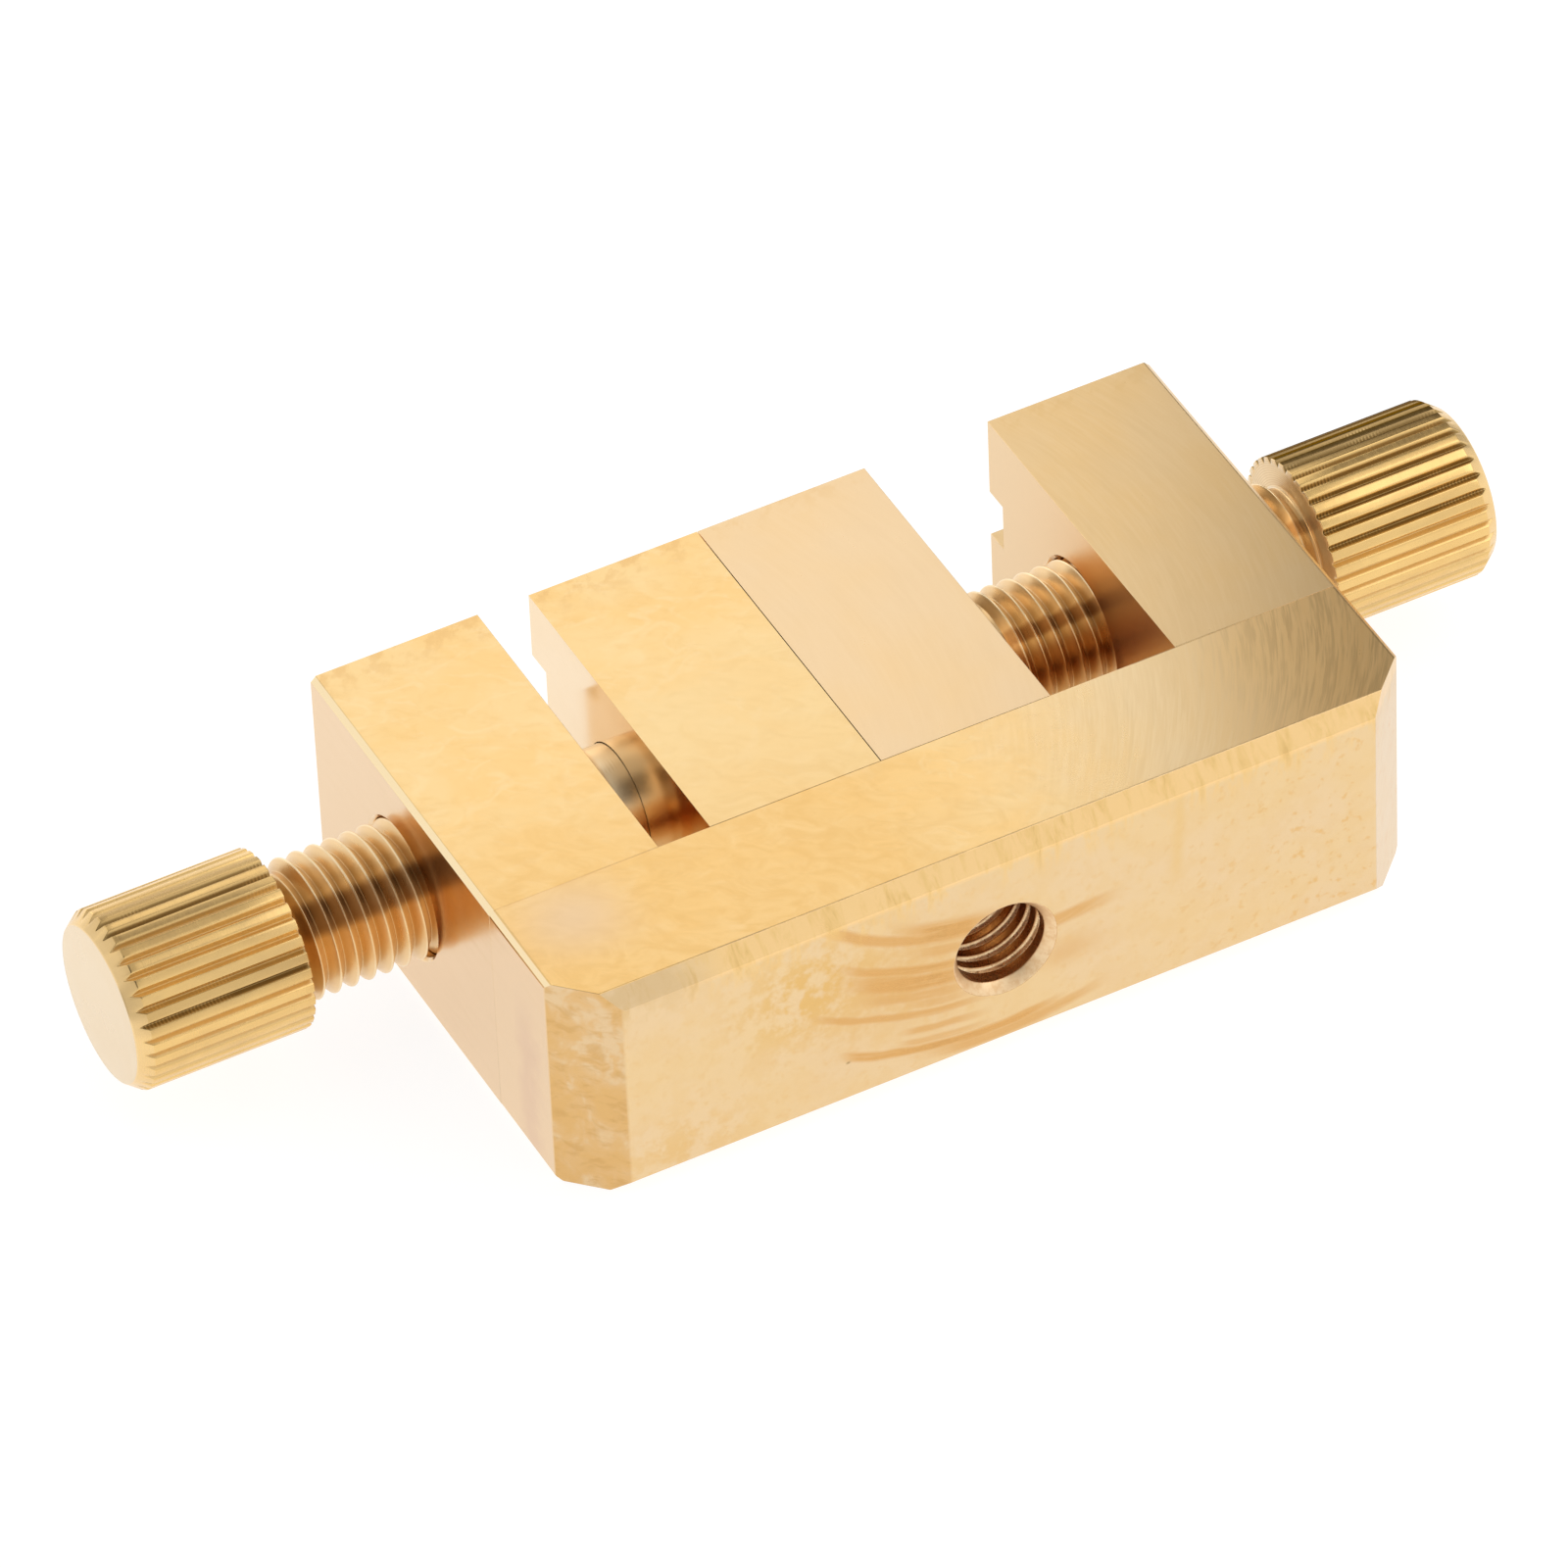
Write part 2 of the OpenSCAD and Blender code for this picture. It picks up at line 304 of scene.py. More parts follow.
def block_material(name, kind):
    mat, t, bsdf = new_material(name)
    pos, p, n = t.pos()
    if kind == "polished":
        top = polished_top(t)
    elif kind == "satin":
        top = satin_top(t, tone=(0.858, 0.634, 0.380), lines=0.22)
    else:
        # painted shade: a darker tone on the right block's milled top
        top = satin_top(t, tone=(0.800, 0.570, 0.300), lines=0.50)
    both = face_mix(t, t.step(n[2], 0.50, 0.66), side_faces(t), top)
    if name.startswith("left_jaw"):
        # its side toward the screw is smoother than the rest
        side = t.step(n[0], -0.8, -0.95)
        paler = t.mul(t.mul(t.step(n[2], 0.8, 0.95), t.step(p[1], 9.0, 3.0)), 0.40)
        both = (t.mix(paler, both[0], (0.850, 0.650, 0.350)), t.blend(side, both[1], 0.12), both[2])
    if name.startswith("left_block"):
        end = t.step(n[0], -0.8, -0.95)
        both = (t.mix(t.mul(end, 0.9), both[0], (0.805, 0.565, 0.330)), both[1], both[2])
        # painted highlight, pale yellow, on the narrow left chamfer
        both = (t.mix(chamfer_highlight(t), both[0], (1.0, 0.800, 0.490)), both[1], both[2])
    if name.startswith("right_block"):
        inner = t.step(n[0], -0.8, -0.95)
        shade = t.step(p[1], 14.5, 4.0)
        both = (t.mix(inner, both[0], t.mix(shade, (0.810, 0.590, 0.345), (0.850, 0.600, 0.335))), t.blend(inner, both[1], 0.34), both[2])
    if "block" in name:
        both = (t.mix(seam(t), both[0], (0.340, 0.235, 0.110)), both[1], both[2])
    finish_material(t, bsdf, both[0], both[1], both[2], 0.004)
    return mat


def rail_material():
    mat, t, bsdf = new_material("rail_brass")
    pos, p, n = t.pos()
    # top: polished at the left, milled satin at the right, with painted shade, darker and olive, in the far right
    # corner
    wander = t.add(p[0], t.mul(t.sub(t.noise(pos, 0.35, 2.0, 0.5), 0.5), 9.0))
    top = face_mix(t, t.step(wander, 1.0, 14.0), polished_top(t), satin_top(t))
    fine, broad = milled_lines(t)
    # painted shade: darker, then olive, toward the far right corner of the top
    corner_shade = t.mul(t.step(t.add(p[0], t.mul(p[1], -0.30)), 15.5, 29.0), t.step(broad, 0.30, 0.72, 1.0, 0.80))
    haze = t.mul(t.spot(p[0], -19.2, 4.6), t.spot(p[1], -8.2, 4.4))
    col = t.mix(t.mul(haze, 0.90), top[0], (0.800, 0.570, 0.340))
    col = t.mix(t.mul(corner_shade, 0.85), col, (0.800, 0.505, 0.205))
    cuts = t.mul(t.step(t.add(t.mul(fine, 0.7), t.mul(broad, 0.3)), 0.44, 0.60), t.step(p[0], 15.0, 25.0))
    col = t.mix(t.mul(cuts, 0.55), col, (0.520, 0.340, 0.145))
    col = t.mix(seam(t), col, (0.340, 0.235, 0.110))
    rim = t.mul(t.spot(p[1], -13.90, 0.10), t.step(t.noise(pos, 0.7, 3.0, 0.6), 0.34, 0.56, 0.30, 0.75))
    col = t.mix(t.mul(rim, t.step(p[0], -18.5, -14.0)), col, (0.500, 0.340, 0.165))
    top = (t.mix(t.mul(corner_shade, 0.10), col, SHADE_OLIVE), top[1], top[2])

    # front: polished, with arcs left by a wheel that swept past the hole
    cx, cz = 1.8, 24.2
    dx, dz = t.sub(p[0], cx), t.sub(p[2], cz)
    rad = t.math("SQRT", t.add(t.mul(dx, dx), t.mul(dz, dz)))
    jitter = t.mul(t.sub(t.noise(t.join(t.mul(p[0], 0.25), 3.0, t.mul(p[2], 0.6)), 0.8, 2.0, 0.6), 0.5), 0.5)
    rj = t.add(rad, jitter)
    cloud = t.noise(pos, 0.20, 3.0, 0.55)
    blotch = t.noise(pos, 0.55, 4.0, 0.62)
    small = t.noise(pos, 1.7, 4.0, 0.62)
    col = t.mix(t.step(cloud, 0.36, 0.66), PEACH, (0.820, 0.592, 0.315))
    where = t.add(t.mul(t.mul(t.spot(p[0], -9.0, 7.0), t.spot(p[2], 9.4, 5.6)), 0.95),
                  t.add(t.mul(t.mul(t.spot(p[0], -17.0, 6.0), t.spot(p[2], 2.0, 3.4)), 0.50), 0.16))
    yellow = t.mul(t.step(t.add(t.mul(blotch, 0.7), t.mul(small, 0.3)), 0.43, 0.57), where)
    col = t.mix(yellow, col, (0.775, 0.490, 0.178))
    tint = t.mul(t.mul(t.spot(p[0], -3.6, 7.5), t.spot(p[2], 7.4, 5.6)), t.step(small, 0.30, 0.62, 0.45, 1.0))
    col = t.mix(t.mul(tint, 0.80), col, (0.755, 0.475, 0.190))
    smear = 0.0
    for r, w, x_lo, fade, x_hi, amount in (
        (14.85, 0.50, -9.2, 2.5, 0.8, 0.90), (14.55, 1.00, -5.2, 3.5, 1.2, 1.00), (15.75, 0.55, -4.0, 2.5, 0.2, 0.70),
        (16.85, 0.42, -8.2, 2.5, -0.2, 0.95), (17.70, 0.85, -8.0, 3.0, -0.2, 1.00), (18.65, 0.50, -7.0, 2.5, -0.4, 0.75),
        (19.25, 0.40, -4.6, 2.5, -0.4, 0.55), (19.95, 0.36, -9.6, 2.0, 0.2, 0.85), (21.05, 0.34, -4.4, 1.4, 0.2, 0.75),
        (21.80, 0.30, -4.6, 1.4, 0.4, 0.65), (22.35, 0.42, -8.0, 1.6, 4.6, 1.00), (22.85, 0.55, -4.0, 4.0, 7.0, 0.80),
    ):
        band = t.step(t.absv(t.sub(rj, r)), w, 0.30 * w)
        ends = t.mul(t.step(p[0], x_lo, x_lo + fade), t.step(p[0], x_hi + 1.6, x_hi - 1.4))
        smear = t.maxi(t.mul(t.mul(band, ends), amount), smear)
    wave = t.add(p[2], t.mul(jitter, 0.8))
    right = t.mul(t.step(t.absv(t.sub(t.sub(wave, t.mul(p[0], 0.08)), 7.25)), 0.62, 0.20), t.mul(t.step(p[0], 9.6, 6.4), t.step(p[0], 4.2, 5.2)))
    patch = t.mul(t.spot(wave, 5.3, 1.7), t.mul(t.step(p[0], 9.4, 5.4), t.step(p[0], 3.6, 5.4)))
    smear = t.maxi(smear, t.maxi(t.mul(right, 0.85), t.mul(patch, 0.50)))
    hairs = t.noise(t.join(t.mul(rad, 2.2), t.mul(p[0], 0.16), 0.0), 1.5, 3.0, 0.65)
    smear = t.mul(smear, t.step(hairs, 0.26, 0.50, 0.68, 1.0))
    col = t.mix(smear, col, (0.715, 0.400, 0.138))
    core = t.mul(t.mul(t.step(smear, 0.80, 1.0), t.spot(p[0], -1.6, 3.4)), t.step(small, 0.34, 0.60))
    col = t.mix(t.mul(core, 0.45), col, (0.58, 0.315, 0.105))
    drip = t.mul(t.spot(t.add(p[0], t.add(t.mul(t.sub(p[2], 9.0), -0.06), jitter)), 12.4, 0.55), t.mul(t.step(p[2], 6.8, 8.6), 0.50))
    col = t.mix(drip, col, (0.80, 0.53, 0.21))
    many = t.add(0.22, t.mul(t.step(p[0], 8.0, 22.0), 0.50))
    fleck = t.mul(t.step(small, 0.56, 0.68), many)
    col = t.mix(fleck, col, (0.78, 0.48, 0.18))
    pit = t.mul(t.spot(p[0], -7.15, 0.20), t.spot(p[2], 3.35, 0.14))
    col = t.mix(t.mul(pit, 0.85), col, (0.36, 0.24, 0.10))

    # broken edge above the front face: yellower, with short upright strokes that run on below it
    strokes = t.noise(t.join(t.mul(p[0], 1.5), t.mul(p[1], 0.35), t.mul(p[2], 0.40)), 1.1, 4.0, 0.62, 0.4)
    reach = t.step(t.add(p[2], t.mul(t.noise(t.join(p[0], 0.0, 0.0), 0.9, 3.0, 0.6), -2.4)), 9.7, 11.9)
    flame = t.mul(t.step(strokes, 0.44, 0.62), t.mul(reach, t.step(p[0], -17.5, -13.5)))
    crown = t.mul(t.step(p[2], 12.7, 13.2), t.step(p[0], -17.0, -13.0))
    col = t.mix(t.mul(crown, 0.90), col, (0.970, 0.655, 0.295))
    col = t.mix(t.mul(flame, 0.70), col, (0.860, 0.570, 0.220))
    ochre = t.mul(t.step(strokes, 0.58, 0.70), reach)
    col = t.mix(t.mul(ochre, 0.55), col, (0.700, 0.445, 0.165))
    grey = t.mul(t.step(p[0], -14.0, -17.5), t.mul(reach, t.step(blotch, 0.36, 0.58)))
    col = t.mix(t.mul(grey, 0.60), col, (0.740, 0.525, 0.275))
    rough = t.add(t.step(hairs, 0.3, 0.7, 0.14, 0.19), t.add(t.mul(smear, 0.10), t.mul(reach, 0.06)))
    front = (col, rough, t.add(t.mul(hairs, 0.08), t.mul(reach, t.mul(strokes, 0.25))))

    # left corner facet: level chatter marks and short ochre smears
    wob = t.mul(t.sub(t.noise(pos, 0.45, 2.0, 0.5), 0.5), 2.0)
    level = t.noise(t.join(t.mul(t.sub(p[0], p[1]), 0.30), 0.0, t.add(p[2], wob)), 1.55, 4.0, 0.62)
    patchy = t.sub(t.noise(t.join(p[0], p[1], t.mul(p[2], 0.9)), 0.55, 3.0, 0.6, 0.6), t.step(p[2], 5.0, 12.5, 0.0, 0.09))
    col = t.mix(t.step(patchy, 0.38, 0.62), (0.730, 0.470, 0.215), (0.715, 0.440, 0.172))
    col = t.mix(t.mul(t.step(patchy, 0.46, 0.32), 0.8), col, (0.760, 0.560, 0.330))
    col = t.mix(t.mul(t.step(level, 0.48, 0.66), 0.60), col, (0.620, 0.365, 0.125))
    facet = (col, t.step(level, 0.3, 0.7, 0.18, 0.26), t.mul(level, 0.35))

    sides = side_faces(t)
    end = t.step(n[0], -0.8, -0.95)
    stain = t.mul(t.spot(t.add(p[1], t.mul(t.sub(t.noise(pos, 0.6, 3.0, 0.6), 0.5), 2.6)), -9.4, 1.9), t.step(p[2], 12.0, 7.0))
    col = t.mix(t.mul(end, 0.9), sides[0], (0.815, 0.575, 0.335))
    sides = (t.mix(t.mul(end, t.mul(stain, 0.6)), col, (0.72, 0.47, 0.30)), sides[1], sides[2])
    out = face_mix(t, t.step(n[1], -0.56, -0.66), sides, front)
    far = t.mul(t.step(n[0], 0.30, 0.62), t.step(n[1], -0.30, -0.55))
    out = (t.mix(t.mul(far, 0.25), out[0], (0.550, 0.400, 0.260)), out[1], out[2])
    out = face_mix(t, t.mul(t.step(n[0], -0.30, -0.62), t.step(n[1], -0.30, -0.55)), out, facet)
    ends = t.mul(t.step(t.absv(n[0]), 0.50, 0.62), t.step(n[2], 0.50, 0.62))
    out = face_mix(t, t.maxi(ends, t.step(n[2], 0.78, 0.86)), out, top)
    # painted highlight, pale yellow, on the narrow left chamfer
    out = (t.mix(chamfer_highlight(t), out[0], (1.0, 0.800, 0.490)), out[1], out[2])
    finish_material(t, bsdf, out[0], out[1], out[2], 0.004)
    return mat


def turned_material(name, side, inner_face, inner_rough):
    """Thumbscrews: turned brass, axis along the object's X, outer end at 0."""
    mat, t, bsdf = new_material(name)
    pos, p, n = t.pos()
    rad = t.math("SQRT", t.add(t.mul(p[1], p[1]), t.mul(p[2], p[2])))
    axial = t.absv(n[0])

    def sector(deg, inner, outer):
        """1 within inner degrees of a line along the knob, 0 beyond outer degrees."""
        a = math.radians(deg + 23.95 if side == "left" else 142.9 - deg)
        c = t.math("DIVIDE", t.add(t.mul(p[1], math.cos(a)), t.mul(p[2], math.sin(a))), t.maxi(rad, 0.1))
        return t.step(c, math.cos(math.radians(outer)), math.cos(math.radians(inner)))

    turn = t.noise(t.join(p[0], t.mul(p[1], 0.06), t.mul(p[2], 0.06)), 5.0, 2.0, 0.6)
    cloud = t.noise(t.join(t.mul(p[0], 0.5), p[1], p[2]), 0.42, 3.0, 0.6)
    mottle = t.noise(t.join(t.mul(p[0], 0.35), p[1], p[2]), 1.1, 4.0, 0.62)
    knob = t.step(p[0], 10.09, 10.03)
    # lands, and the knurl grooves, with painted shade along some of them
    gold = t.mix(t.step(cloud, 0.36, 0.66), (0.860, 0.575, 0.225), (0.820, 0.535, 0.205))
    gold = t.mix(t.mul(t.step(mottle, 0.46, 0.70), 0.40), gold, (0.690, 0.465, 0.195))
    if side == "left":
        # painted shade: dark lands and grooves in a few sectors of the left knob
        shade_sectors = t.maxi(t.maxi(sector(36, 4, 9), sector(53, 3, 9)), sector(112, 5, 11))
        # painted shade: darker olive lands over the top of the left knob
        gold = t.mix(t.mul(sector(82, 12, 34), t.step(mottle, 0.30, 0.62, 0.10, 0.50)), gold, (0.690, 0.465, 0.200))
        gold = t.mix(t.mul(shade_sectors, 0.45), gold, (0.470, 0.310, 0.130))
    else:
        # painted shade over the upper half of the right knob, dark brown on its top lands, also through the specular
        # tint
        shade_sectors = sector(45, 54, 68)
        top_shade = t.mul(sector(13, 26, 33), t.mul(knob, t.step(axial, 0.50, 0.25)))
        gold = t.mix(t.mul(top_shade, 0.90), gold, (0.290, 0.190, 0.082))
        t.put(bsdf.inputs["Specular Tint"], t.mix(top_shade, (1.0, 1.0, 1.0), (0.300, 0.225, 0.130)))
    low = t.mul(t.step(rad, 4.97, 4.84), t.step(axial, 0.50, 0.25))
    rungs = t.math("SINE", t.mul(p[0], 2 * math.pi / 0.20))
    patch = t.step(t.noise(pos, 0.35, 2.0, 0.5), 0.42, 0.58)
    # grooves in the shaded sectors: painted shade, brown, with ladder marks
    shaded_rungs = t.mix(t.mul(t.step(rungs, -0.4, 0.8), patch), (0.330, 0.215, 0.080), (0.520, 0.355, 0.150))
    groove = t.mix(shade_sectors, (0.800, 0.570, 0.275), shaded_rungs)
    col = t.mix(t.mul(low, t.add(t.mul(shade_sectors, 0.30), 0.60)), gold, groove)
    # end faces and chamfer: pale
    cream = t.mix(t.step(cloud, 0.3, 0.7), (0.825, 0.652, 0.430), (0.835, 0.670, 0.457))
    rim = t.mul(t.step(axial, 0.45, 0.70), t.step(p[0], 1.0, 0.9))
    col = t.mix(t.step(axial, 0.45, 0.70), col, (0.885, 0.640, 0.330))
    if side == "left":
        # painted shade: a dark line on the outer chamfer at the top of the left knob
        col = t.mix(t.mul(rim, t.mul(sector(96, 3, 15), 0.75)), col, (0.400, 0.270, 0.115))
    col = t.mix(t.step(axial, 0.85, 0.97), col, cream)
    inside = t.mul(t.step(n[0], 0.60, 0.85), t.step(p[0], 9.5, 9.9))
    rings = t.step(t.math("SINE", t.mul(rad, 2 * math.pi / 0.132)), -0.2, 0.9)
    face = t.mix(t.step(cloud, 0.3, 0.7), inner_face, tuple(c * 0.93 for c in inner_face))
    face = t.mix(t.mul(rings, 0.45), face, tuple(c * k for c, k in zip(inner_face, (0.70, 0.62, 0.52))))
    col = t.mix(inside, col, face)
    shank = t.mix(t.step(cloud, 0.35, 0.7), (0.875, 0.620, 0.330), (0.840, 0.580, 0.295))
    # threads: painted shade, browner, at the root, and a painted highlight along the crest
    shank = t.mix(t.mul(t.step(rad, 3.72, 3.36), 0.45), shank, (0.560, 0.330, 0.125))
    shank = t.mix(t.mul(t.step(rad, 3.74, 3.83), 0.60), shank, (0.970, 0.800, 0.530))
    # painted shade in bands along the thread at given angles round it
    if side == "left":
        shank = t.mix(t.mul(sector(120, 10, 30), 0.60), shank, (0.790, 0.475, 0.185))
        shank = t.mix(t.mul(sector(88, 8, 20), 0.75), shank, (0.330, 0.175, 0.070))
    else:
        shank = t.mix(t.maxi(t.mul(sector(77, 3, 9), 0.8), t.mul(sector(116, 16, 30), 0.60)), shank, (0.450, 0.235, 0.090))
    pilot = t.step(p[0], 28.9, 29.3)
    shank = t.mix(pilot, shank, t.mix(t.step(cloud, 0.35, 0.7), (0.940, 0.760, 0.500), (0.910, 0.715, 0.450)))
    col = t.mix(knob, shank, col)
    rough = t.step(turn, 0.3, 0.7, 0.22, 0.28)
    rough = t.add(rough, t.mul(low, 0.12))
    rough = t.blend(inside, rough, inner_rough)
    rough = t.blend(knob, t.blend(pilot, t.step(turn, 0.3, 0.7, 0.27, 0.34), 0.32), rough)
    height = t.add(t.mul(turn, 0.3), t.mul(t.mul(low, shade_sectors), t.mul(rungs, t.mul(patch, 0.8))))
    finish_material(t, bsdf, col, rough, height, 0.005)
    return mat


def steel_material():
    mat, t, bsdf = new_material("plain_steel")
    pos, p, n = t.pos()
    grain = t.noise(t.join(p[0], p[1], t.mul(p[2], 0.2)), 5.0, 3.0, 0.6)
    col = t.mix(t.step(grain, 0.35, 0.7), (0.60, 0.60, 0.60), (0.44, 0.43, 0.42))
    finish_material(t, bsdf, col, t.step(grain, 0.3, 0.7, 0.28, 0.42), grain, 0.006)
    return mat


def hole_material():
    """Thread of the front hole: dull, dark brown inside, which is painted shade, bright where the tap has cut. Axis
    along the object's X.
    """
    mat, t, bsdf = new_material("tapped_brass")
    pos, p, n = t.pos()
    rad = t.math("SQRT", t.add(t.mul(p[1], p[1]), t.mul(p[2], p[2])))
    grain = t.noise(pos, 2.6, 4.0, 0.65)
    speck = t.noise(pos, 7.0, 2.0, 0.6)
    cut = t.maxi(t.step(rad, 2.575, 2.66), t.step(p[0], 0.60, 0.50))
    bright = t.mix(t.step(grain, 0.35, 0.7), (0.890, 0.660, 0.400), (0.80, 0.54, 0.29))
    bright = t.mix(t.mul(t.step(speck, 0.56, 0.68), t.step(p[0], 0.55, 0.70)), bright, (0.42, 0.24, 0.11))
    # painted shade: dark brown on the ridges inside the hole
    shade_inside = t.mix(t.step(grain, 0.35, 0.7), (0.590, 0.325, 0.152), (0.480, 0.255, 0.112))
    rough = t.add(t.step(grain, 0.3, 0.7, 0.24, 0.34), t.step(p[0], 0.60, 0.50, 0.0, 0.16))
    finish_material(t, bsdf, t.mix(cut, shade_inside, bright), rough, t.add(grain, t.mul(speck, 0.3)), 0.008)
    return mat


# ---------------------------------------------------------------------------
# the brass bodies, with softened edges
# ---------------------------------------------------------------------------


def near(v, w, tol=0.02):
    return abs(v - w) < tol


def rail_edge(mid, n1, n2, length):
    """Width in millimetres of the broken edge at a corner of the rail."""
    if mid.y > -5.6:
        return 0.0
    if near(mid.y, -5.7):
        return 0.014 if length > 5 else 0.0
    slanted = [n for n in (n1, n2) if max(abs(c) for c in n) < 0.9]
    if len(slanted) == 1 and near(slanted[0].x, 0, 0.1):
        return 0.22 if min(n1.y, n2.y) < -0.99 else 0.05
    if slanted and length > 5:
        return 0.22 if mid.x < 0 and mid.y < -14 else 0.10
    return 0.03


def block_edge(mid, n1, n2, length):
    if near(mid.y, -5.7):
        return (0.012 if mid.x > 0 else 0.004) if length > 5 else 0.0
    slanted = [n for n in (n1, n2) if max(abs(c) for c in n) < 0.9]
    return 0.05 if slanted else 0.03


def jaw_edge(mid, n1, n2, length):
    if mid.y < -5.5 or abs(mid.x) < 0.06:
        return 0.014
    return 0.03


def soft_piece(node, mat, width_of, body, shift=None):
    """A copy of a CAD body with joined flat faces and rounded outer edges."""
    src = nodes[node]
    bm = bmesh.new()
    bm.from_mesh(src.data)
    bm.transform(Matrix.Scale(1000.0, 4) @ src.matrix_world)
    bmesh.ops.remove_doubles(bm, verts=bm.verts, dist=1e-3)

    def level(f):
        c = sorted(abs(x) for x in f.normal)
        return c[2] > 0.99999 or (c[0] < 1e-3 and abs(c[1] - c[2]) < 1e-3)

    flat = [e for e in bm.edges if len(e.link_faces) == 2 and level(e.link_faces[0]) and level(e.link_faces[1])
            and e.link_faces[0].normal.dot(e.link_faces[1].normal) > 0.999999]
    verts = list({v for e in flat for v in e.verts})
    bmesh.ops.dissolve_limit(bm, angle_limit=math.radians(0.2), use_dissolve_boundaries=False, verts=verts, edges=flat)
    if shift:
        for v in bm.verts:
            shift(v.co)
    bm.normal_update()
    layer = bm.edges.layers.float.new("bevel_weight_edge")
    widest = 0.3
    for e in bm.edges:
        if len(e.link_faces) != 2:
            continue
        if not e.is_convex:
            continue
        f, g = e.link_faces
        if f.normal.angle(g.normal) < math.radians(20):
            continue
        if level(f) and level(g) and e.calc_length() > 0.3:
            mid = (e.verts[0].co + e.verts[1].co) / 2
            e[layer] = width_of(mid, f.normal, g.normal, e.calc_length()) / widest
    bm.transform(Matrix.Scale(0.001, 4))
    me = bpy.data.meshes.new(node + "_softened")
    bm.to_mesh(me)
    bm.free()
    o = bpy.data.objects.new(node + "_softened", me)
    scene.collection.objects.link(o)
    bev = o.modifiers.new("edges", "BEVEL")
    bev.width = widest * MM
    bev.segments = 3
    bev.limit_method = "WEIGHT"
    bev.use_clamp_overlap = False
    bpy.context.view_layer.update()
    cut = bpy.data.meshes.new_from_object(o.evaluated_get(bpy.context.evaluated_depsgraph_get()))
    o.modifiers.clear()
    o.data = cut
    bpy.data.meshes.remove(me)
    cut.name = node + "_softened"
    bm = bmesh.new()
    bm.from_mesh(cut)
    for v in bm.verts:
        for i in range(3):
            v.co[i] = min(max(v.co[i], cad_box[0][i]), cad_box[1][i])
    bm.normal_update()
    for e in bm.edges:
        if len(e.link_faces) == 2:
            e.smooth = e.calc_face_angle(0.0) < math.radians(35)
    for f in bm.faces:
        f.smooth = True
    bm.to_mesh(cut)
    bm.free()
    cut.materials.clear()
    cut.materials.append(mat)
    nrm = o.modifiers.new("normals", "WEIGHTED_NORMAL")
    nrm.keep_sharp = True
    nrm.weight = 100
    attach(o, body)
    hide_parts(node)
    return o


def close_left(co):
    """Brings the jaw's sliding face and meeting face nearer to their neighbours."""
    if near(co.y, -5.64):
        co.y = -5.675
    if near(co.x, -0.04):
        co.x = -0.022


def close_right(co):
    if near(co.y, -5.64):
        co.y = -5.675
    if near(co.x, 0.04):
        co.x = 0.022


soft_piece("rail", rail_material(), rail_edge, "base")
soft_piece("left_end_block", block_material("left_block_brass", "polished"), block_edge, "base")
soft_piece("right_end_block", block_material("right_block_brass", "milled"), block_edge, "base")
soft_piece("left_jaw", block_material("left_jaw_brass", "polished"), jaw_edge, "left_slide", close_left)
soft_piece("right_jaw", block_material("right_jaw_brass", "satin"), jaw_edge, "right_slide", close_right)

# small steel screws and pins keep their CAD shape
steel = steel_material()
for name in nodes:
    if "block_screw" in name or "jaw_pin" in name:
        o = nodes[name]
        o.data.materials.clear()
        o.data.materials.append(steel)
        bev = o.modifiers.new("edges", "BEVEL")
        bev.width = 0.02 * MM
        bev.segments = 2
        bev.limit_method = "ANGLE"
        bev.angle_limit = math.radians(50)

# ---------------------------------------------------------------------------
# thumbscrews and the tapped hole, with real threads
# ---------------------------------------------------------------------------


